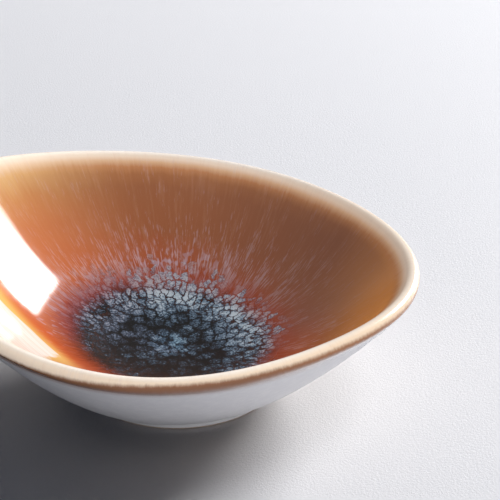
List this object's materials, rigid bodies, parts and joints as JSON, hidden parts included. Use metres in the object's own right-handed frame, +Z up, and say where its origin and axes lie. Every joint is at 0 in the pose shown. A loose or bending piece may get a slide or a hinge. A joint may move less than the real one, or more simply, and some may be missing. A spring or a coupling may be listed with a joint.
{
  "type": "dip bowl",
  "caption": "Small shallow stoneware dip bowl with a rounded lip on a sloping, swooping rim, a low foot ring, a white outside and a reactive-glazed inside with a thick pool of glaze.",
  "frame": {"origin": "on the table, under the middle of the bowl's outline seen from above", "axes": "+Z up, +X towards the low end of the rim, +Y to the bowl's left seen from its high end; the XZ plane is its plane of symmetry"},
  "size_m": [0.1102, 0.111, 0.0424],
  "materials": {
    "clay": "fired stoneware, bare and matte",
    "foot_clay": "pale fired clay, smoothed, satin to matte",
    "white_glaze": "white glaze, satin gloss",
    "lip_glaze": "thin cream glaze with a brown lower edge, glossy",
    "amber_glaze": "amber and rust glaze with pale radial streaks, very glossy",
    "pool_glaze": "thick dark glaze with steel-blue rounded crystals, very glossy"
  },
  "bodies": {
    "root": {"clay_body": "clay", "foot_ring": "foot_clay", "outer_glaze": "white_glaze", "recess_glaze": "white_glaze", "lip_glaze": "lip_glaze", "inner_glaze": "amber_glaze", "pool_glaze": "pool_glaze"}
  },
  "joints": []
}
